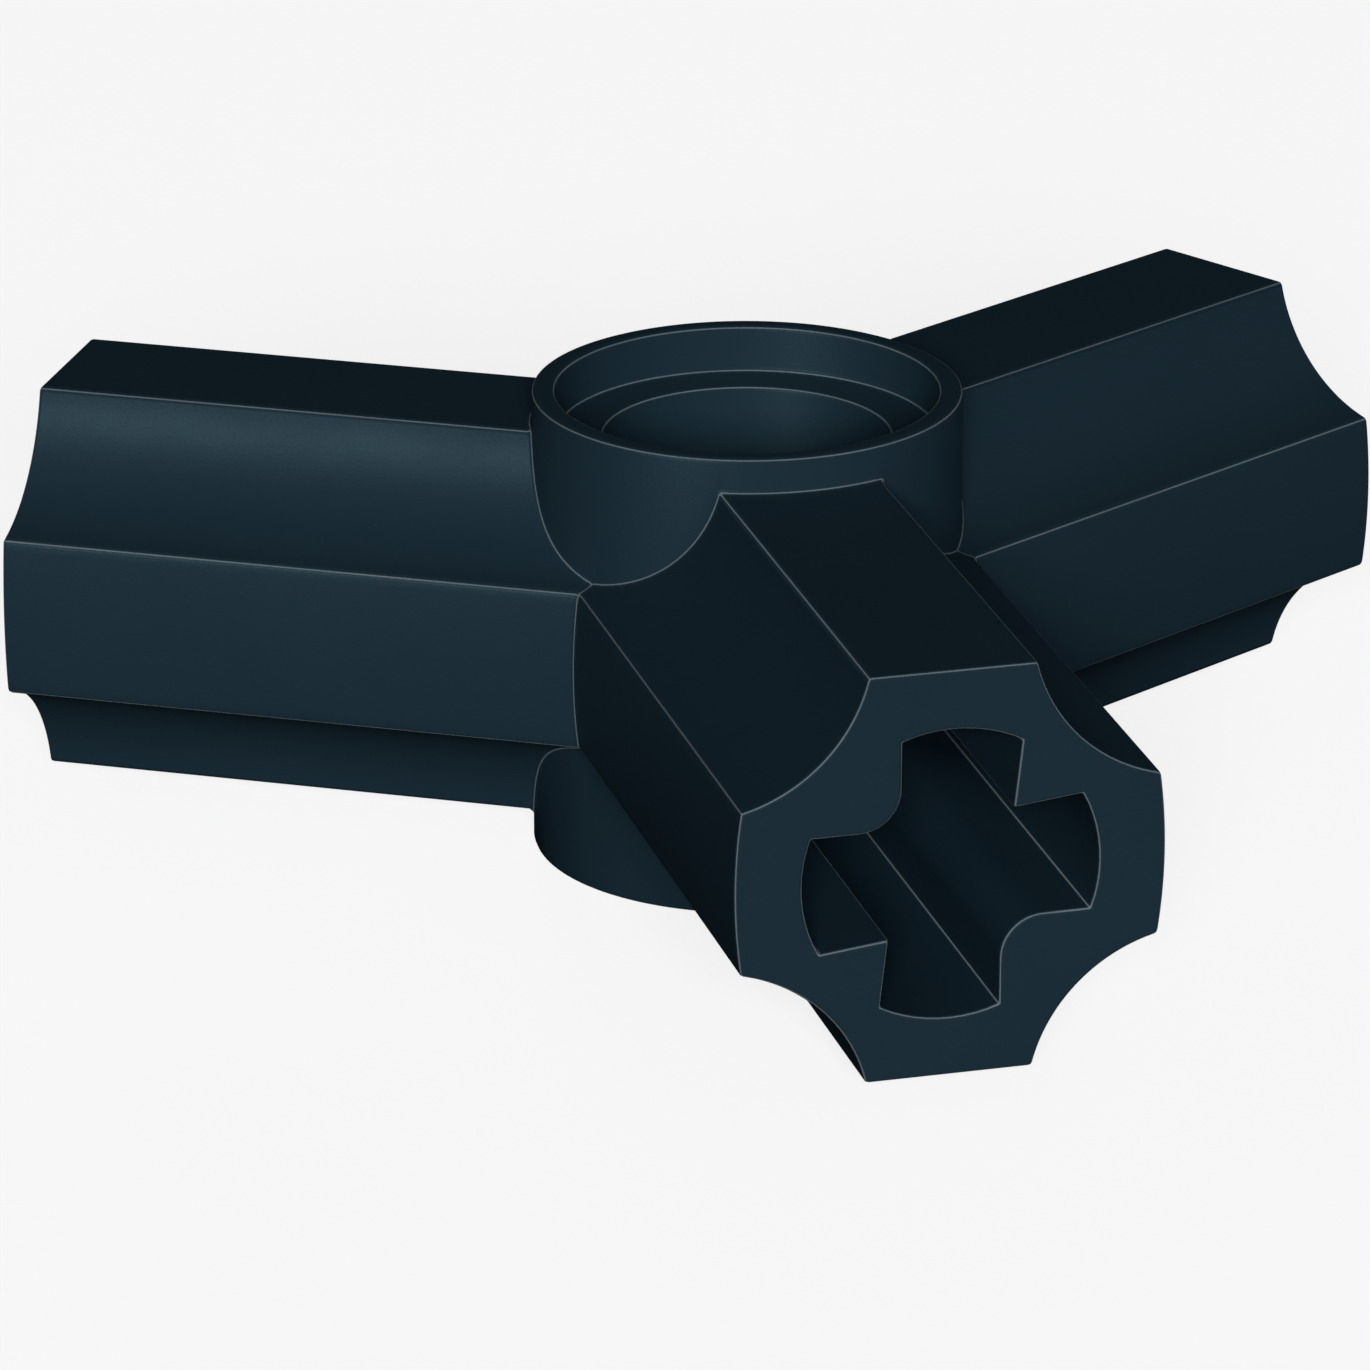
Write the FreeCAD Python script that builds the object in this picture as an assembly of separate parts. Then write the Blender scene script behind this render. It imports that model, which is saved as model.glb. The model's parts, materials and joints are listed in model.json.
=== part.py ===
import FreeCAD, Part
import math
import os

from FreeCAD import Vector

# Three way corner connector, moulded in one piece: an upright pin hub with three arms,
# each arm fluted along its corners and ending in a socket for a cross axle.
# Millimetres. The origin is the middle of the pin bore, +Z runs along the bore,
# and the first arm points along -Y. The part is the same either way up.

# Pin hub
HUB_HEIGHT = 8.0
BORE_RADIUS = 2.4
LEDGE_WIDTH = 0.8  # step from the bore out to the counterbore, where a pin's collar sits
COUNTERBORE_DEPTH = 0.8
RIM_WALL = 0.4  # wall around the counterbore
RIM_CHAMFER = 0.06  # on the outer rim, the counterbore's mouth and the bore's

# Arms
ARM_COUNT = 3
ARM_LENGTH = 12.0  # from the bore's axis to the arm's end face
ARM_WIDTH = 6.8  # across the arm at the upper and lower edge of its sides
HUB_STAND = 0.6  # height of the hub's rim above the arm's flat
SIDE_CROWN = 0.1  # rise of the arm's side over the line between its edges
FLUTE_RADIUS = 2.7
FLUTE_AXIS_OFFSET = 0.6  # flute's axis beyond the arm's flat, and beyond its side
LONG_EDGE_RADIUS = 0.08  # where a flute meets the arm's flat or its side
JUNCTION_RADIUS = 0.1  # hollow rounding where the arms run into the hub and into each other
END_CHAMFER = 0.05  # around the arm's end face and around the mouth of its socket

# Cross-axle sockets
SOCKET_REACH = 2.4  # from the arm's axis to the rounded end of each slot
SOCKET_END_WALL = 1.6  # between the socket's floor and the bore
PLAIN_FLANK_OFFSET = 0.8  # slot flanks beside the rounded corners, from the arm's axis
ROUND_CORNER_RADIUS = 0.7
SHARP_CORNER_OFFSET = 1.0  # sharp corners, from the arm's axis, across and up
TILTED_FLANK_ANGLE = 6.4  # degrees by which a slot opens outwards from a sharp corner

# Sizes that follow from those above
HUB_HALF_HEIGHT = HUB_HEIGHT / 2
COUNTERBORE_RADIUS = BORE_RADIUS + LEDGE_WIDTH
HUB_RADIUS = COUNTERBORE_RADIUS + RIM_WALL
LEDGE_HEIGHT = HUB_HALF_HEIGHT - COUNTERBORE_DEPTH
ARM_HALF_HEIGHT = HUB_HALF_HEIGHT - HUB_STAND
ARM_HALF_WIDTH = ARM_WIDTH / 2
SOCKET_FLOOR = BORE_RADIUS + SOCKET_END_WALL

DIAGONAL = math.sqrt(0.5)  # cosine and sine of 45 degrees
HALF_TURN = 180.0
FULL_TURN = 360.0
MEETING_SLACK = 1e-4
CENTRE = Vector(0, 0, 0)
UP = Vector(0, 0, 1)
OUTWARD = Vector(0, -1, 0)  # the way the first arm points


def on_section(across, up):
    """A point of an arm's cross-section, as seen from outside its end face."""
    return Vector(across, 0, up)


def line(start, end):
    return Part.LineSegment(start, end).toShape()


def arc(start, middle, end):
    return Part.Arc(start, middle, end).toShape()


def face_from_half(half_outline):
    """Closes half an outline with a copy of it turned half a turn about the arm's axis."""
    other_half = []
    for edge in half_outline:
        turned = edge.copy()
        turned.rotate(CENTRE, OUTWARD, HALF_TURN)
        other_half.append(turned)
    return Part.Face(Part.Wire(half_outline + other_half))


def arm_section():
    """Flats above and below, crowned sides, and a hollow flute along each corner."""
    flute_across = ARM_HALF_WIDTH + FLUTE_AXIS_OFFSET
    flute_up = ARM_HALF_HEIGHT + FLUTE_AXIS_OFFSET
    flute_chord = math.sqrt(FLUTE_RADIUS ** 2 - FLUTE_AXIS_OFFSET ** 2)
    flute_bottom = FLUTE_RADIUS * DIAGONAL
    flat_edge = flute_across - flute_chord
    side_edge = flute_up - flute_chord

    top_left = on_section(-flat_edge, ARM_HALF_HEIGHT)
    top_right = on_section(flat_edge, ARM_HALF_HEIGHT)
    upper_flute = on_section(flute_across - flute_bottom, flute_up - flute_bottom)
    side_top = on_section(ARM_HALF_WIDTH, side_edge)
    side_middle = on_section(ARM_HALF_WIDTH + SIDE_CROWN, 0)
    side_bottom = on_section(ARM_HALF_WIDTH, -side_edge)
    lower_flute = on_section(flute_across - flute_bottom, flute_bottom - flute_up)
    bottom_right = on_section(flat_edge, -ARM_HALF_HEIGHT)

    return face_from_half([
        line(top_left, top_right),
        arc(top_right, upper_flute, side_top),
        arc(side_top, side_middle, side_bottom),
        arc(side_bottom, lower_flute, bottom_right),
    ])


def tilted_flank_end():
    """Where the flank that starts at a sharp corner reaches the slot's end: beside and along the slot."""
    tilt = math.radians(TILTED_FLANK_ANGLE)
    beside = math.sin(tilt)
    along = math.cos(tilt)
    projection = SHARP_CORNER_OFFSET * (beside + along)
    corner_gap = SOCKET_REACH ** 2 - 2 * SHARP_CORNER_OFFSET ** 2
    flank = math.sqrt(projection ** 2 + corner_gap) - projection
    return SHARP_CORNER_OFFSET + flank * beside, SHARP_CORNER_OFFSET + flank * along


def socket_section():
    """A cross with two opposite sharp corners, where its slots widen outwards, and two rounded ones."""
    near_end, far_end = tilted_flank_end()
    plain_end = math.sqrt(SOCKET_REACH ** 2 - PLAIN_FLANK_OFFSET ** 2)
    tangent = PLAIN_FLANK_OFFSET + ROUND_CORNER_RADIUS
    corner = tangent - ROUND_CORNER_RADIUS * DIAGONAL

    sharp = on_section(SHARP_CORNER_OFFSET, SHARP_CORNER_OFFSET)
    top_tilted = on_section(near_end, far_end)
    top_middle = on_section(0, SOCKET_REACH)
    top_plain = on_section(-PLAIN_FLANK_OFFSET, plain_end)
    round_start = on_section(-PLAIN_FLANK_OFFSET, tangent)
    round_middle = on_section(-corner, corner)
    round_end = on_section(-tangent, PLAIN_FLANK_OFFSET)
    left_plain = on_section(-plain_end, PLAIN_FLANK_OFFSET)
    left_middle = on_section(-SOCKET_REACH, 0)
    left_tilted = on_section(-far_end, -near_end)
    opposite_sharp = on_section(-SHARP_CORNER_OFFSET, -SHARP_CORNER_OFFSET)

    return face_from_half([
        line(sharp, top_tilted),
        arc(top_tilted, top_middle, top_plain),
        line(top_plain, round_start),
        arc(round_start, round_middle, round_end),
        line(round_end, left_plain),
        arc(left_plain, left_middle, left_tilted),
        line(left_tilted, opposite_sharp),
    ])


def lies_across(edge, distance):
    """Whether an edge lies in the plane across the first arm at this distance from the bore's axis."""
    return all(abs(vertex.Point.dot(OUTWARD) - distance) < MEETING_SLACK for vertex in edge.Vertexes)


def arm():
    """One arm from the bore's axis to its end face, with its socket and its edges broken."""
    body = arm_section().extrude(OUTWARD * ARM_LENGTH)
    long_edges = []
    for edge in body.Edges:
        if not lies_across(edge, 0) and not lies_across(edge, ARM_LENGTH):
            long_edges.append(edge)
    body = body.makeFillet(LONG_EDGE_RADIUS, long_edges)

    socket = socket_section().extrude(OUTWARD * (ARM_LENGTH - SOCKET_FLOOR))
    socket.translate(OUTWARD * SOCKET_FLOOR)
    body = body.cut(socket)
    return body.makeChamfer(END_CHAMFER, [edge for edge in body.Edges if lies_across(edge, ARM_LENGTH)])


def ring_of_arms():
    first_arm = arm()
    arms = []
    for number in range(ARM_COUNT):
        turned = first_arm.copy()
        turned.rotate(CENTRE, UP, number * FULL_TURN / ARM_COUNT)
        arms.append(turned)
    return arms


def turned_about_bore(upper_points):
    """Sweeps around the bore's axis an outline of which the upper half is given, from outside to the axis."""
    upper = [Vector(across, 0, up) for across, up in upper_points]
    lower = [Vector(point.x, 0, -point.z) for point in reversed(upper)]
    outline = Part.makePolygon(lower + upper + lower[:1])
    return Part.Face(outline).revolve(CENTRE, UP, FULL_TURN)


def hub_blank():
    """The hub before its hole: a cylinder with its outer rims chamfered."""
    return turned_about_bore([
        (HUB_RADIUS, HUB_HALF_HEIGHT - RIM_CHAMFER),
        (HUB_RADIUS - RIM_CHAMFER, HUB_HALF_HEIGHT),
        (0, HUB_HALF_HEIGHT),
    ])


def pin_hole():
    """The space inside the hub: the bore, and at each end a lead-in, a ledge and the counterbore."""
    return turned_about_bore([
        (BORE_RADIUS, LEDGE_HEIGHT - RIM_CHAMFER),
        (BORE_RADIUS + RIM_CHAMFER, LEDGE_HEIGHT),
        (COUNTERBORE_RADIUS, LEDGE_HEIGHT),
        (COUNTERBORE_RADIUS, HUB_HALF_HEIGHT - RIM_CHAMFER),
        (COUNTERBORE_RADIUS + RIM_CHAMFER, HUB_HALF_HEIGHT),
        (0, HUB_HALF_HEIGHT),
    ])


def on_an_edge(point, edges):
    for edge in edges:
        box = edge.BoundBox
        box.enlarge(MEETING_SLACK)
        if box.isInside(point) and edge.distToShape(Part.Vertex(point))[0] < MEETING_SLACK:
            return True
    return False


def joined(pieces):
    """Fuses the pieces, and rounds the hollow edges along which their surfaces run into each other."""
    body = pieces[0].multiFuse(pieces[1:])
    own_edges = [edge for piece in pieces for edge in piece.Edges]
    meeting_edges = []
    for edge in body.Edges:
        middle = edge.valueAt((edge.FirstParameter + edge.LastParameter) / 2)
        if not on_an_edge(middle, own_edges):
            meeting_edges.append(edge)
    return body.makeFillet(JUNCTION_RADIUS, meeting_edges)


def connector_body():
    return joined([hub_blank()] + ring_of_arms()).cut(pin_hole())


os.makedirs("parts", exist_ok=True)
connector_body().exportStep("parts/connector_body.step")
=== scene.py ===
import json
import math

import bpy
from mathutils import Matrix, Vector


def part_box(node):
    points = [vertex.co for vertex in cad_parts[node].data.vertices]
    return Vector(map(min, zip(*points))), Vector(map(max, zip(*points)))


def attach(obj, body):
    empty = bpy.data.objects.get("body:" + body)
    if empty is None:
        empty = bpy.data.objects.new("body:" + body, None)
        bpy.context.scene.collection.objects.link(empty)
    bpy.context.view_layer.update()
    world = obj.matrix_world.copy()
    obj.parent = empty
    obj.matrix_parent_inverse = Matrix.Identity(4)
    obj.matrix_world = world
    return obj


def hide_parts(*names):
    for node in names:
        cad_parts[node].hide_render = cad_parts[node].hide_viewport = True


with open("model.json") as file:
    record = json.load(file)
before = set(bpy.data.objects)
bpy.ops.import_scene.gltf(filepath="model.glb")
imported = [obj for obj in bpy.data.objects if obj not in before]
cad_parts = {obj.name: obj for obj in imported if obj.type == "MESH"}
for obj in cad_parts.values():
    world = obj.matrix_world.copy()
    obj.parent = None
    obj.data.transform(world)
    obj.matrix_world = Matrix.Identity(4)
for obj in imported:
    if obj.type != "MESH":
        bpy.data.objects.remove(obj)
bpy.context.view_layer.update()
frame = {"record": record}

# Three way corner connector, moulded in one piece of dark blue-black plastic.
# Metres, with the middle of the pin bore at the origin and +Z along it.
# The forms are worked out in millimetres and scaled once, at the end of their node tree.

MM = 0.001
QUARTER_TURN = math.pi / 2
HALF_TURN = math.pi
THREE_QUARTERS = 1.5 * math.pi
ARM_COUNT = 3
BETWEEN_ARMS = math.tau / ARM_COUNT
HALF_BETWEEN = BETWEEN_ARMS / 2
MOUNTS = {mount["name"]: mount for mount in frame["record"]["mounts"]}
CAD_NODE = "connector_body"
CAD_LOW, CAD_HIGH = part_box(CAD_NODE)

# Sizes of the form: millimetres, and one angle. The frame gives those that it holds.
SIZES = {
    "Hub height": (CAD_HIGH.z - CAD_LOW.z) / MM,
    "Hub radius": 3.6,
    "Bore radius": MOUNTS["pin_bore"]["dims"]["r_mm"],
    "Counterbore radius": MOUNTS["upper_counterbore"]["dims"]["r_mm"],
    "Counterbore depth": 0.8,
    "Arm length": -CAD_LOW.y / MM,
    "Arm width": 6.8,
    "Arm height": 6.8,
    "Side crown": 0.1,
    "Flute radius": 2.7,
    "Flute axis offset": 0.6,
    "Socket depth": MOUNTS["front_socket"]["dims"]["length_mm"],
    "Socket reach": MOUNTS["front_socket"]["dims"]["r_mm"],
    "Plain flank offset": 0.8,
    "Round corner radius": 0.7,
    "Sharp corner offset": 1.0,
    "Tilted flank angle": math.radians(6.4),
}

# Roundings of the edges, in millimetres, as the distance from the edge to where its rounding starts
HOLLOW_ROUNDING = 0.09  # the largest, where surfaces run into each other
EDGE_ROUNDING = 0.072
SOCKET_ROUNDING = 0.04
SHARPEST_CURVE = math.radians(10)  # what turns by more than this is an edge
ROUNDING_STEPS = 2

# Steps round the curved stretches, and along the arm's flats, which run into the round hub
FLAT_STEPS = 18
FLUTE_STEPS = 28
FLUTE_TIP_STEPS = 3  # of the stretch that passes beside the hub and meets the next arm
SIDE_STEPS = 14
SLOT_END_STEPS = 10
ROUND_CORNER_STEPS = 12

# Allowances of the form, in millimetres
MERGE_DISTANCE = 0.002  # points as close as this are one
SLACK = 0.05  # in comparisons of places
FACES_BESIDE = 2  # an edge inside a surface has as many, and one on its border has fewer

# How the mesh is finished, and what it carries for that
ROUNDING_WEIGHT = "bevel_weight_edge"  # the name under which the Bevel modifier finds it
INSIDE_SOCKET = "inside_socket"
FROM_EDGE = "distance_from_edge"
FAR_FROM_EDGE = 1.0 * MM  # stands for any place that isn't in a rounding
ROUNDING_SLOT = 0
MANY_CORNERS = 5  # a face with as many is cut into triangles

# The plastic
PLASTIC_DEEP = (0.0105, 0.0250, 0.0375, 1)
PLASTIC_LIGHT = (0.0125, 0.0285, 0.0420, 1)
PLASTIC_ROUGHNESS = 0.45
PLASTIC_SPECULAR = 0.25
CLOUD = 3.0 * MM  # size of the patches of deeper and lighter colour
FLOW = 1.2 * MM  # size of the unevenness from the plastic's flow into the mould
FLOW_SHEEN = 0.10  # how much the flow changes the roughness
FLOW_RELIEF = 1.5  # how high the flow stands, as a multiple of the grain
GRAIN = 0.06 * MM  # size of the finest grain, which the mould leaves
GRAIN_SHEEN = 0.05
GRAIN_RELIEF = 0.0025 * MM
NOISE_MIDDLE = 0.5

# A painted highlight: a paler line along the middle of each rounded edge, standing for the light that the
# rounding catches
PAINTED_HIGHLIGHT_COLOUR = (0.180, 0.215, 0.235, 1)
PAINTED_HIGHLIGHT_REACH = 0.020 * MM  # from the line's middle to where the plastic has its own colour
PAINTED_HIGHLIGHT_STRENGTH = 0.62
PAINTED_HIGHLIGHT_FLOW = 0.40  # what the flow adds to the strength
EDGE_SHEEN = 0.1  # what the line adds to the roughness

# The camera, as solved from the photograph: its place, and the degrees by which it looks off +Y
CAMERA_PLACE = (-34.80 * MM, -125.84 * MM, 48.84 * MM)
CAMERA_TOWARDS_X = 15.005
CAMERA_DOWN = 21.008
SENSOR = 36.0  # millimetres
PHOTO_PIXELS = 1370
FOCAL_PIXELS = 8282.4  # the focal length, in pixels of the photograph
NEAREST_SEEN = 0.01
FARTHEST_SEEN = 10.0

# The studio
COOL_WHITE = (0.52, 0.855, 1.0)
PALE = 0.925  # the background, as the camera sees it
WORLD_LIGHT = 0.045  # on matt surfaces, from all sides
WORLD_REFLECTION = 0.004  # in glossy ones
FLOOR_WIDTH = 3.0
FLOOR_LIT = 0.35  # the floor's answer to the lamps, in which shadows show
FLOOR_GLOW = 0.785  # what it adds, to be as pale as the background
FLOOR_BOUNCE = 0.06  # how pale it is to the object's matt surfaces
FLOOR_REFLECTION = 0.01  # and to its gloss
SHADOWS_FULL = 0.06  # distance from the origin within which the floor takes full shadows
SHADOWS_END = 0.20  # and past which it takes none


class Link:
    """One output of a node. Python's operators on it add nodes to its tree."""

    def __init__(self, tree, socket):
        self.tree = tree
        self.socket = socket

    def out(self, name):
        """Another output of the same node."""
        return Link(self.tree, found_socket(self.socket.node.outputs, name))

    def math(self, operation, *others):
        return self.tree.math(operation, self, *others)

    def __add__(self, other):
        return self.math("ADD", other)

    def __radd__(self, other):
        return self.math("ADD", other)

    def __sub__(self, other):
        return self.math("SUBTRACT", other)

    def __rsub__(self, other):
        return self.tree.math("SUBTRACT", other, self)

    def __mul__(self, other):
        return self.math("MULTIPLY", other)

    def __rmul__(self, other):
        return self.math("MULTIPLY", other)

    def __truediv__(self, other):
        return self.math("DIVIDE", other)

    def __rtruediv__(self, other):
        return self.tree.math("DIVIDE", other, self)

    def __pow__(self, other):
        return self.math("POWER", other)

    def __neg__(self):
        return self.math("MULTIPLY", -1.0)

    def __gt__(self, other):
        return self.math("GREATER_THAN", other)

    def __lt__(self, other):
        return self.math("LESS_THAN", other)

    def __abs__(self):
        return self.math("ABSOLUTE")


def found_socket(sockets, key):
    """A socket by its place, or by its name among those in use."""
    if isinstance(key, int):
        return sockets[key]
    return next(socket for socket in sockets if socket.enabled and key == socket.name)


class Tree:
    """A node tree, which one method fills."""

    def __init__(self, data):
        self.data = data

    def add(self, kind, settings=None, sockets=None, output=0):
        """Adds a node: first its settings, then the values and links of its sockets."""
        node = self.data.nodes.new(kind)
        for name, value in (settings or {}).items():
            setattr(node, name, value)
        for key, value in (sockets or {}).items():
            self.feed(found_socket(node.inputs, key), value)
        return Link(self, found_socket(node.outputs, output))

    def feed(self, socket, value):
        """Gives a socket a value, a link, several links, or a vector of which some parts are links."""
        if isinstance(value, list):
            for link in value:
                self.data.links.new(link.socket, socket)
        elif isinstance(value, tuple) and any(isinstance(part, Link) for part in value):
            self.data.links.new(self.vector(*value).socket, socket)
        elif isinstance(value, Link):
            self.data.links.new(value.socket, socket)
        else:
            socket.default_value = value

    def end(self, kind, socket, value):
        """Adds the node that a tree ends in, which has no output."""
        last = self.data.nodes.new(kind)
        self.feed(last.inputs[socket], value)

    def math(self, operation, *values):
        return self.add("ShaderNodeMath", {"operation": operation}, dict(enumerate(values)))

    def vector(self, x, y, z):
        return self.add("ShaderNodeCombineXYZ", {}, {"X": x, "Y": y, "Z": z})


def new_form(name, sizes):
    """A geometry tree with these sizes as its named inputs, and a link to each."""
    data = bpy.data.node_groups.new(name, "GeometryNodeTree")
    data.interface.new_socket(name="Geometry", in_out="OUTPUT", socket_type="NodeSocketGeometry")
    for size, value in sizes.items():
        socket = data.interface.new_socket(name=size, in_out="INPUT", socket_type="NodeSocketFloat")
        socket.default_value = value
    tree = Tree(data)
    first = tree.add("NodeGroupInput")
    return tree, {size: first.out(size) for size in sizes}


def joined(tree, parts):
    return tree.add("GeometryNodeJoinGeometry", {}, {"Geometry": parts})


def moved(tree, part, translation=(0, 0, 0), rotation=(0, 0, 0), scale=(1, 1, 1)):
    sockets = {"Geometry": part, "Translation": translation, "Rotation": rotation, "Scale": scale}
    return tree.add("GeometryNodeTransform", {}, sockets)


def merged(tree, part):
    return tree.add("GeometryNodeMergeByDistance", {}, {"Geometry": part, "Distance": MERGE_DISTANCE})


def straight(tree, start, end, steps=1):
    """A straight run of points. In its mode END_POINTS, the node takes the end as its Offset."""
    sockets = {"Count": steps + 1, "Start Location": start, "Offset": end}
    return tree.add("GeometryNodeMeshLine", {"mode": "END_POINTS"}, sockets)


def arc(tree, centre, radius, start, end, steps):
    """A run of points round a centre, from one angle to another."""
    sockets = {"Resolution": steps + 1, "Radius": radius, "Start Angle": start, "Sweep Angle": end - start}
    curve = tree.add("GeometryNodeCurveArc", {"mode": "RADIUS"}, sockets)
    return moved(tree, tree.add("GeometryNodeCurveToMesh", {}, {"Curve": curve}), centre)


def closed_from_half(tree, half):
    """Closes half an outline with a copy of it turned half a turn about the arm's axis."""
    half = joined(tree, half)
    return merged(tree, joined(tree, [half, moved(tree, half, rotation=(0, 0, HALF_TURN))]))


def arm_section(tree, size):
    """The arm's outline, across and up: flats, crowned sides, and a hollow flute along each corner."""
    half_width = size["Arm width"] / 2
    half_height = size["Arm height"] / 2
    flute_across = half_width + size["Flute axis offset"]
    flute_up = half_height + size["Flute axis offset"]
    radius = size["Flute radius"]
    lean = (size["Flute axis offset"] / radius).math("ARCSINE")
    chord = radius * lean.math("COSINE")
    flat_edge = flute_across - chord
    side_edge = flute_up - chord
    meeting = size["Hub radius"] * math.sin(HALF_BETWEEN)
    meeting_turn = ((flute_across - meeting) / radius).math("ARCCOSINE")
    upper = (flute_across, flute_up, 0.0)
    lower = (flute_across, -flute_up, 0.0)
    crown = size["Side crown"]
    side_radius = (side_edge ** 2 + crown ** 2) / (2 * crown)
    side_turn = (side_edge / side_radius).math("ARCSINE")
    side_centre = (half_width + crown - side_radius, 0.0, 0.0)

    return closed_from_half(tree, [
        straight(tree, (-flat_edge, half_height, 0.0), (flat_edge, half_height, 0.0), FLAT_STEPS),
        arc(tree, upper, radius, HALF_TURN + lean, HALF_TURN + meeting_turn, FLUTE_STEPS),
        arc(tree, upper, radius, HALF_TURN + meeting_turn, THREE_QUARTERS - lean, FLUTE_TIP_STEPS),
        arc(tree, side_centre, side_radius, side_turn, -side_turn, SIDE_STEPS),
        arc(tree, lower, radius, QUARTER_TURN + lean, HALF_TURN - meeting_turn, FLUTE_TIP_STEPS),
        arc(tree, lower, radius, HALF_TURN - meeting_turn, HALF_TURN - lean, FLUTE_STEPS),
    ])


def socket_section(tree, size):
    """The socket's cross: two opposite corners are sharp, with slots that widen outwards, and two rounded."""
    reach = size["Socket reach"]
    plain = size["Plain flank offset"]
    sharp = size["Sharp corner offset"]
    beside = size["Tilted flank angle"].math("SINE")
    along = size["Tilted flank angle"].math("COSINE")
    projection = sharp * (beside + along)
    flank = (projection ** 2 + reach ** 2 - 2 * sharp ** 2).math("SQRT") - projection
    near_end = sharp + flank * beside
    far_end = sharp + flank * along
    tilted_turn = (near_end / reach).math("ARCSINE")
    plain_turn = (plain / reach).math("ARCSINE")
    plain_end = reach * plain_turn.math("COSINE")
    round_radius = size["Round corner radius"]
    tangent = plain + round_radius

    return closed_from_half(tree, [
        straight(tree, (sharp, sharp, 0.0), (near_end, far_end, 0.0)),
        arc(tree, (0, 0, 0), reach, QUARTER_TURN - tilted_turn, QUARTER_TURN + plain_turn, SLOT_END_STEPS),
        straight(tree, (-plain, plain_end, 0.0), (-plain, tangent, 0.0)),
        arc(tree, (-tangent, tangent, 0.0), round_radius, 0.0, -QUARTER_TURN, ROUND_CORNER_STEPS),
        straight(tree, (-tangent, plain, 0.0), (-plain_end, plain, 0.0)),
        arc(tree, (0, 0, 0), reach, HALF_TURN - plain_turn, HALF_TURN + tilted_turn, SLOT_END_STEPS),
        straight(tree, (-far_end, -near_end, 0.0), (-sharp, -sharp, 0.0)),
    ])


def filled(tree, outlines, along):
    """A flat face between outlines, square to the arm's axis and at this distance along it."""
    curve = tree.add("GeometryNodeMeshToCurve", {}, {"Mesh": joined(tree, outlines)})
    face = tree.add("GeometryNodeFillCurve", {"mode": "NGONS"}, {"Curve": curve})
    return moved(tree, face, (0.0, 0.0, along))


def stored_on_edges(tree, mesh, name, value):
    sockets = {"Geometry": mesh, "Name": name, "Value": value}
    return tree.add("GeometryNodeStoreNamedAttribute", {"domain": "EDGE"}, sockets)


def drawn_out(tree, mesh, edges, place):
    """Draws faces out of some edges, and moves their far side to a place worked out from where it was."""
    drawing = {"Mesh": mesh, "Selection": edges, "Offset Scale": 0.0}
    drawn = tree.add("GeometryNodeExtrudeMesh", {"mode": "EDGES"}, drawing)
    far_side = drawn.out("Top")
    placing = {"Geometry": drawn, "Selection": far_side, "Position": place}
    return tree.add("GeometryNodeSetPosition", {}, placing), far_side


def own_place(tree):
    """Each point's place by the arm's own axes: across it, up from its axis, and along it from the bore's."""
    position = tree.add("GeometryNodeInputPosition")
    place = tree.add("ShaderNodeSeparateXYZ", {}, {"Vector": position})
    return place.out("X"), place.out("Y"), place.out("Z")


def with_hub_sector(tree, size, mesh, inner_edges):
    """Adds a third of the hub to an arm: its outside, its rim, the counterbore, the ledge and the bore."""
    across, up, along = own_place(tree)
    side = up.math("SIGN")
    half_hub = size["Hub height"] / 2
    ledge = half_hub - size["Counterbore depth"]
    to_counterbore = size["Counterbore radius"] / size["Hub radius"]
    to_bore = size["Bore radius"] / size["Counterbore radius"]
    meets_hub = abs(across) < size["Hub radius"] * math.sin(HALF_BETWEEN)

    mesh, edges = drawn_out(tree, mesh, inner_edges * meets_hub, (across, side * half_hub, along))
    mesh, edges = drawn_out(tree, mesh, edges, (across * to_counterbore, up, along * to_counterbore))
    mesh, edges = drawn_out(tree, mesh, edges, (across, side * ledge, along))
    mesh, edges = drawn_out(tree, mesh, edges, (across * to_bore, up, along * to_bore))
    mesh, _ = drawn_out(tree, mesh, edges, (across, 0.0, along))
    return mesh


def arm_with_hub_sector(tree, size):
    """One arm along local +Z, with its socket and its third of the hub, whose bore runs along local Y."""
    across, up, along = own_place(tree)
    off_axis = (across ** 2 + up ** 2).math("SQRT")
    in_socket = off_axis < size["Socket reach"] + SLACK
    border = tree.add("GeometryNodeInputMeshEdgeNeighbors") < FACES_BESIDE
    floor = size["Arm length"] - size["Socket depth"]
    at_hub = (size["Hub radius"] ** 2 - across ** 2).math("SQRT")
    at_next_arm = abs(across) / math.tan(HALF_BETWEEN)
    inner_end = at_hub.math("MAXIMUM", at_next_arm)

    section = arm_section(tree, size)
    cross = socket_section(tree, size)
    mesh = filled(tree, [section, cross], size["Arm length"])
    mesh, _ = drawn_out(tree, mesh, border * in_socket, (across, up, floor))
    mesh, inner_edges = drawn_out(tree, mesh, border * (1 - in_socket), (across, up, inner_end))
    mesh = with_hub_sector(tree, size, mesh, inner_edges)
    mesh = merged(tree, joined(tree, [mesh, filled(tree, [cross], floor)]))

    inside = in_socket * (along > floor - SLACK) * (along < size["Arm length"] - SLACK)
    return stored_on_edges(tree, mesh, INSIDE_SOCKET, inside)


def ring_of_arms(tree, arm):
    """Copies of an arm at equal angles about the bore."""
    index = tree.add("GeometryNodeInputIndex")
    points = tree.add("GeometryNodePoints", {}, {"Count": ARM_COUNT}, "Points")
    sockets = {"Points": points, "Instance": arm, "Rotation": (0.0, 0.0, index * BETWEEN_ARMS)}
    copies = tree.add("GeometryNodeInstanceOnPoints", {}, sockets)
    return tree.add("GeometryNodeRealizeInstances", {}, {"Geometry": copies})


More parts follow.
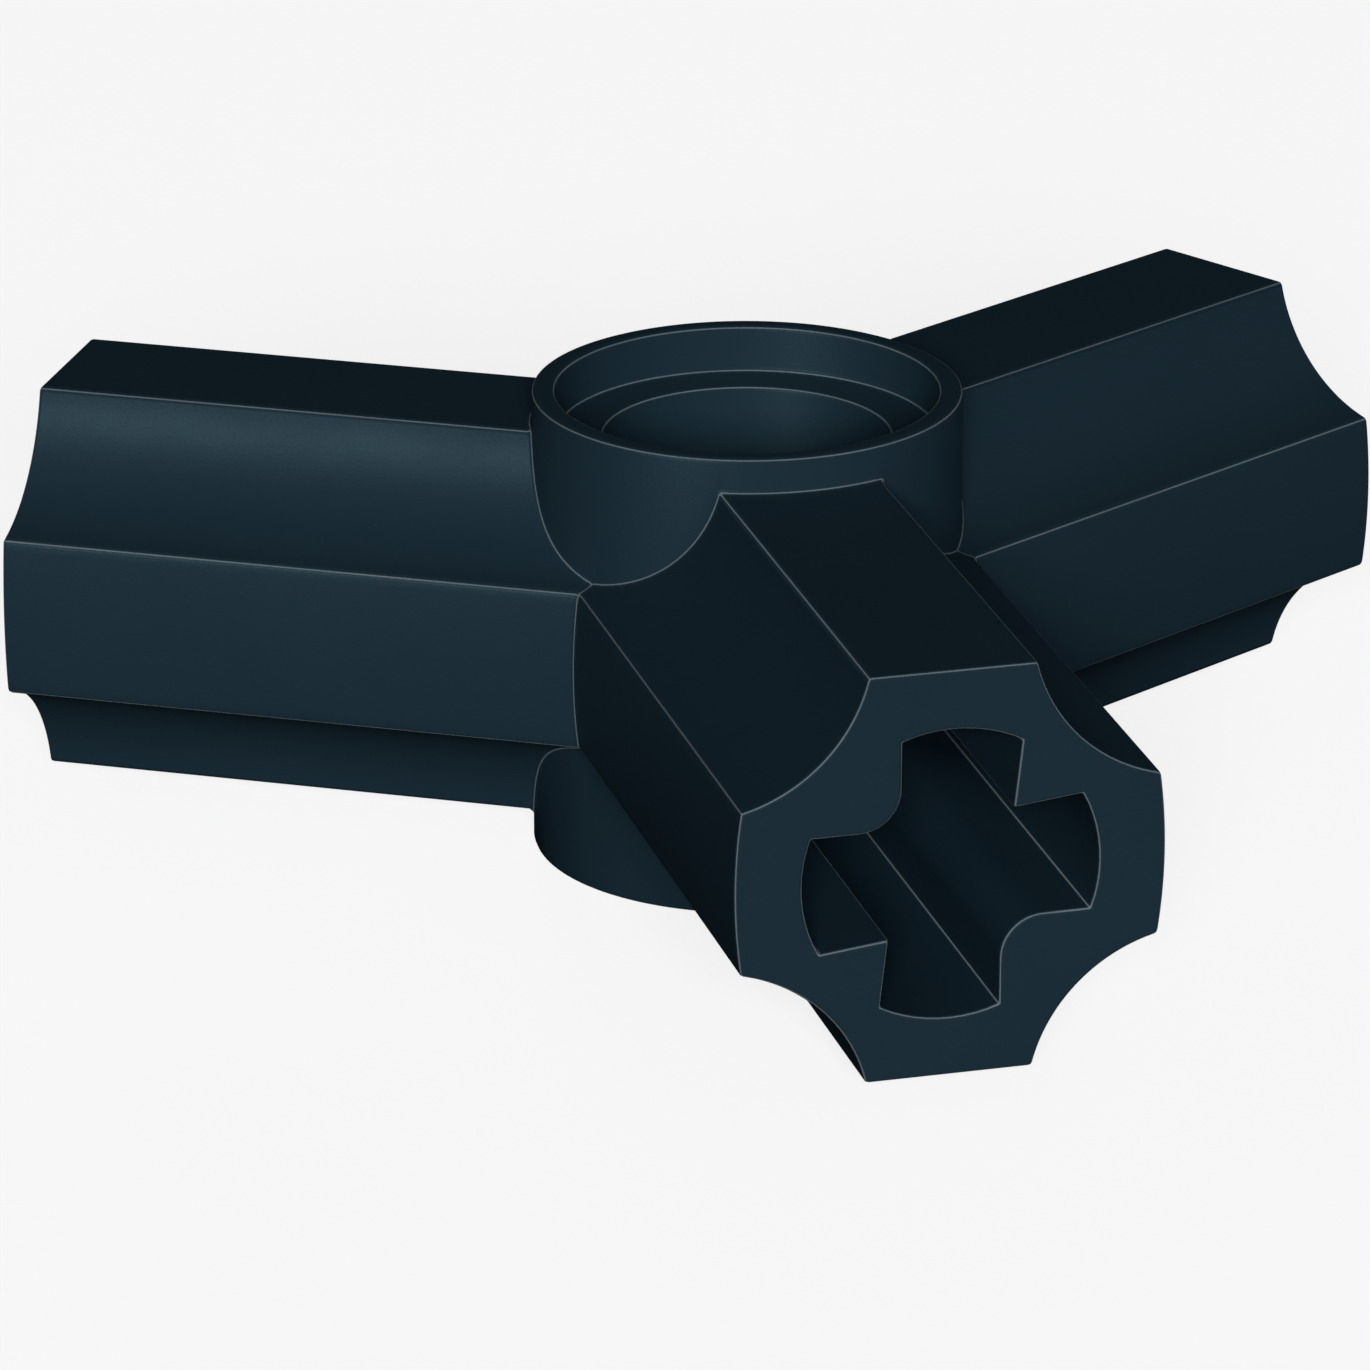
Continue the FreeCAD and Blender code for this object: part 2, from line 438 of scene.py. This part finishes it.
def rounding_of_edges(tree):
    """How far each edge is rounded, as a share of the largest rounding."""
    angle = tree.add("GeometryNodeInputMeshEdgeAngle")
    is_edge = angle > SHARPEST_CURVE
    hollow = angle.out("Signed Angle") < 0.0
    inside = tree.add("GeometryNodeInputNamedAttribute", {}, {"Name": INSIDE_SOCKET})
    outer = EDGE_ROUNDING + hollow * (HOLLOW_ROUNDING - EDGE_ROUNDING)
    return is_edge * (outer + inside * (SOCKET_ROUNDING - outer)) / HOLLOW_ROUNDING


def connector_form(sizes, material):
    """The whole connector, with sharp edges that carry how far each is to be rounded."""
    tree, size = new_form("connector form", sizes)
    arm = moved(tree, arm_with_hub_sector(tree, size), rotation=(QUARTER_TURN, 0, 0))
    body = merged(tree, ring_of_arms(tree, arm))
    body = stored_on_edges(tree, body, ROUNDING_WEIGHT, rounding_of_edges(tree))
    body = tree.add("GeometryNodeSetShadeSmooth", {}, {"Geometry": body})
    body = moved(tree, body, scale=(MM, MM, MM))
    body = tree.add("GeometryNodeSetMaterial", {}, {"Geometry": body, "Material": material})
    tree.end("NodeGroupOutput", "Geometry", body)
    return tree.data


def grown(name, form, sizes):
    """An object whose mesh a geometry tree makes from these sizes."""
    piece = bpy.data.objects.new(name, bpy.data.meshes.new(name))
    bpy.context.scene.collection.objects.link(piece)
    modifier = piece.modifiers.new("form", "NODES")
    modifier.node_group = form
    for socket in form.interface.items_tree:
        if socket.in_out == "INPUT":
            modifier[socket.identifier] = sizes[socket.name]
    return piece


def round_edges(piece, material):
    """Rounds the edges that the form gives a weight. The roundings get a material slot of their own."""
    piece.data.materials.append(material)
    bevel = piece.modifiers.new("rounding", "BEVEL")
    bevel.limit_method = "WEIGHT"
    bevel.width = HOLLOW_ROUNDING * MM
    bevel.segments = ROUNDING_STEPS
    bevel.loop_slide = False
    bevel.use_clamp_overlap = False
    bevel.material = ROUNDING_SLOT
    piece.modifiers.new("shading", "WEIGHTED_NORMAL")
    flats = piece.modifiers.new("flat faces", "TRIANGULATE")
    flats.min_vertices = MANY_CORNERS
    flats.keep_custom_normals = True


def made_plain(piece):
    """Puts what the modifiers make in the mesh's place, and removes them."""
    graph = bpy.context.evaluated_depsgraph_get()
    mesh = bpy.data.meshes.new_from_object(piece.evaluated_get(graph))
    mesh.name = piece.name
    piece.modifiers.clear()
    piece.data = mesh


def middle_points(mesh):
    """For each point, whether it lies in the middle of a rounding, where no other face reaches."""
    middle = [True] * len(mesh.vertices)
    for face in mesh.polygons:
        if face.material_index != ROUNDING_SLOT:
            for point in face.vertices:
                middle[point] = False
    return middle


def store_distance_from_edge(mesh):
    """Stores how far each point of a rounding is from its middle, where the material paints its highlight
    line.
    """
    middle = middle_points(mesh)
    distance = [0.0 if in_middle else FAR_FROM_EDGE for in_middle in middle]
    for edge in mesh.edges:
        first, second = edge.vertices
        if middle[first] != middle[second]:
            border = second if middle[first] else first
            width = (mesh.vertices[first].co - mesh.vertices[second].co).length
            distance[border] = min(distance[border], width)
    mesh.attributes.new(FROM_EDGE, "FLOAT", "POINT").data.foreach_set("value", distance)


def leave_one_material(mesh, material):
    """Takes the slots away that told the roundings from the other faces."""
    for face in mesh.polygons:
        face.material_index = 0
    mesh.materials.clear()
    mesh.materials.append(material)


def object_place(tree):
    return tree.add("ShaderNodeTexCoord", {}, {}, "Object")


def noise(tree, size, detail, roughness=0.5):
    """Soft noise from 0 to 1 whose features are about this many metres across."""
    sockets = {"Vector": object_place(tree), "Scale": 1 / size, "Detail": detail, "Roughness": roughness}
    return tree.add("ShaderNodeTexNoise", {}, sockets, "Fac")


def mix_colours(tree, factor, first, second):
    sockets = {"Factor": factor, "A": first, "B": second}
    return tree.add("ShaderNodeMix", {"data_type": "RGBA"}, sockets, "Result")


def new_material(name):
    material = bpy.data.materials.new(name)
    material.use_nodes = True
    material.node_tree.nodes.clear()
    return material, Tree(material.node_tree)


def moulded_plastic():
    """Dark blue-black moulded plastic: finely grained, a little uneven, with a painted highlight along the
    middle of each rounded edge.
    """
    material, tree = new_material("blue_black_plastic")
    from_edge = tree.add("ShaderNodeAttribute", {"attribute_name": FROM_EDGE}, {}, "Fac")
    # painted highlight: paler towards the middle of each rounded edge
    painted_highlight = (1 - from_edge / PAINTED_HIGHLIGHT_REACH).math("MAXIMUM", 0.0)
    cloud = noise(tree, CLOUD, detail=2.0)
    flow = noise(tree, FLOW, detail=3.0, roughness=0.55)
    grain = noise(tree, GRAIN, detail=1.0)

    body = mix_colours(tree, cloud, PLASTIC_DEEP, PLASTIC_LIGHT)
    # the painted highlight line is mixed into the plastic's colour
    colour = mix_colours(tree, painted_highlight * (PAINTED_HIGHLIGHT_STRENGTH + PAINTED_HIGHLIGHT_FLOW * flow), body, PAINTED_HIGHLIGHT_COLOUR)
    unevenness = FLOW_SHEEN * (flow - NOISE_MIDDLE) + GRAIN_SHEEN * (grain - NOISE_MIDDLE)
    roughness = PLASTIC_ROUGHNESS + unevenness + EDGE_SHEEN * painted_highlight
    bump = tree.add("ShaderNodeBump", {}, {"Height": grain + FLOW_RELIEF * flow, "Distance": GRAIN_RELIEF})
    shader = tree.add("ShaderNodeBsdfPrincipled", {}, {
        "Base Color": colour,
        "Roughness": roughness,
        "Specular IOR Level": PLASTIC_SPECULAR,
        "Normal": bump,
    })
    tree.end("ShaderNodeOutputMaterial", "Surface", shader)
    return material


def connector():
    """The moulded connector, in the place of its CAD node."""
    material = moulded_plastic()
    piece = grown("moulded_connector", connector_form(SIZES, material), SIZES)
    round_edges(piece, material)
    made_plain(piece)
    store_distance_from_edge(piece.data)
    leave_one_material(piece.data, material)
    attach(piece, "root")
    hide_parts(CAD_NODE)


def direction(azimuth, elevation):
    """The way from the object to what stands at these angles, in degrees. Azimuth 0 is in front, at -Y."""
    turn = math.radians(azimuth)
    rise = math.radians(elevation)
    return Vector((math.sin(turn) * math.cos(rise), -math.cos(turn) * math.cos(rise), math.sin(rise)))


def lamp(name, azimuth, elevation, distance, width, height, strength):
    """An oval soft lamp turned to the object. At strength 1 it shows matt surfaces in their own colour."""
    light = bpy.data.lights.new(name, "AREA")
    light.shape = "ELLIPSE"
    light.size = width
    light.size_y = height
    light.energy = strength * (math.pi * distance) ** 2
    holder = bpy.data.objects.new(name, light)
    holder.location = direction(azimuth, elevation) * distance
    holder.rotation_euler = (-holder.location).to_track_quat("-Z", "Y").to_euler()
    holder.visible_camera = False
    bpy.context.scene.collection.objects.link(holder)
    return holder


def lights():
    """A soft lamp close to the camera and two low ones behind, and a softbox that shows only as gloss."""
    front = lamp("front_lamp", azimuth=-15, elevation=19, distance=0.8, width=0.32, height=0.2, strength=1.03)
    back = lamp("back_lamp", azimuth=171, elevation=1.5, distance=1.0, width=0.3, height=0.05, strength=1.0)
    right = lamp("right_lamp", azimuth=130, elevation=2, distance=1.0, width=0.4, height=0.05, strength=0.23)
    for matt in (front, back, right):
        matt.visible_glossy = False
    left = lamp("left_softbox", azimuth=-49, elevation=24, distance=0.6, width=0.2, height=0.2, strength=0.3)
    left.data.color = COOL_WHITE
    left.visible_diffuse = False


def grey(value):
    return (value, value, value, 1)


def seen_and_glossy(tree):
    """Whether a ray comes from the camera, straight or through something clear, and whether off a gloss."""
    camera = tree.add("ShaderNodeLightPath", {}, {}, "Is Camera Ray")
    return camera.math("MAXIMUM", camera.out("Is Transmission Ray")), camera.out("Is Glossy Ray")


def pale_world():
    """Pale to the camera, a little light from all sides, and dark to reflections."""
    world = bpy.data.worlds.new("studio")
    world.use_nodes = True
    world.node_tree.nodes.clear()
    tree = Tree(world.node_tree)
    seen, glossy = seen_and_glossy(tree)
    strength = seen * PALE + glossy * WORLD_REFLECTION + (1 - seen - glossy) * WORLD_LIGHT
    background = tree.add("ShaderNodeBackground", {}, {"Color": grey(1), "Strength": strength})
    tree.end("ShaderNodeOutputWorld", "Surface", background)
    bpy.context.scene.world = world


def floor_finish():
    """Pale to the camera, with the object's shadow, and dark in what it gives back to the object."""
    material, tree = new_material("pale_floor")
    seen, glossy = seen_and_glossy(tree)
    shaded = tree.add("ShaderNodeBsdfDiffuse", {}, {"Color": grey(FLOOR_LIT)})
    glow = tree.add("ShaderNodeEmission", {}, {"Color": grey(1), "Strength": FLOOR_GLOW})
    near = tree.add("ShaderNodeAddShader", {}, {0: shaded, 1: glow})
    far = tree.add("ShaderNodeEmission", {}, {"Color": grey(1), "Strength": PALE})
    off_middle = tree.add("ShaderNodeVectorMath", {"operation": "LENGTH"}, {0: object_place(tree)}, "Value")
    limits = {"Value": off_middle, "From Min": SHADOWS_FULL, "From Max": SHADOWS_END}
    farness = tree.add("ShaderNodeMapRange", {"interpolation_type": "SMOOTHSTEP"}, limits)
    pale = tree.add("ShaderNodeMixShader", {}, {0: farness, 1: near, 2: far})
    dark_grey = mix_colours(tree, glossy, grey(FLOOR_BOUNCE), grey(FLOOR_REFLECTION))
    dark = tree.add("ShaderNodeBsdfDiffuse", {}, {"Color": dark_grey})
    both = tree.add("ShaderNodeMixShader", {}, {0: seen, 1: dark, 2: pale})
    tree.end("ShaderNodeOutputMaterial", "Surface", both)
    return material


def stage():
    """A wide plain floor, on which the connector lies."""
    mesh = bpy.data.meshes.new("floor")
    low = CAD_LOW.z
    half = FLOOR_WIDTH / 2
    corners = [(-half, -half, low), (half, -half, low), (half, half, low), (-half, half, low)]
    mesh.from_pydata(corners, [], [(0, 1, 2, 3)])
    mesh.materials.append(floor_finish())
    floor = bpy.data.objects.new("floor", mesh)
    bpy.context.scene.collection.objects.link(floor)


def camera():
    data = bpy.data.cameras.new("camera")
    data.sensor_width = SENSOR
    data.lens = SENSOR * FOCAL_PIXELS / PHOTO_PIXELS
    data.clip_start = NEAREST_SEEN
    data.clip_end = FARTHEST_SEEN
    holder = bpy.data.objects.new("camera", data)
    holder.location = CAMERA_PLACE
    turn = math.radians(CAMERA_TOWARDS_X)
    holder.rotation_euler = (QUARTER_TURN - math.radians(CAMERA_DOWN), 0, -turn)
    bpy.context.scene.collection.objects.link(holder)
    bpy.context.scene.camera = holder


connector()
stage()
pale_world()
lights()
camera()
bpy.context.scene.view_settings.view_transform = "Standard"
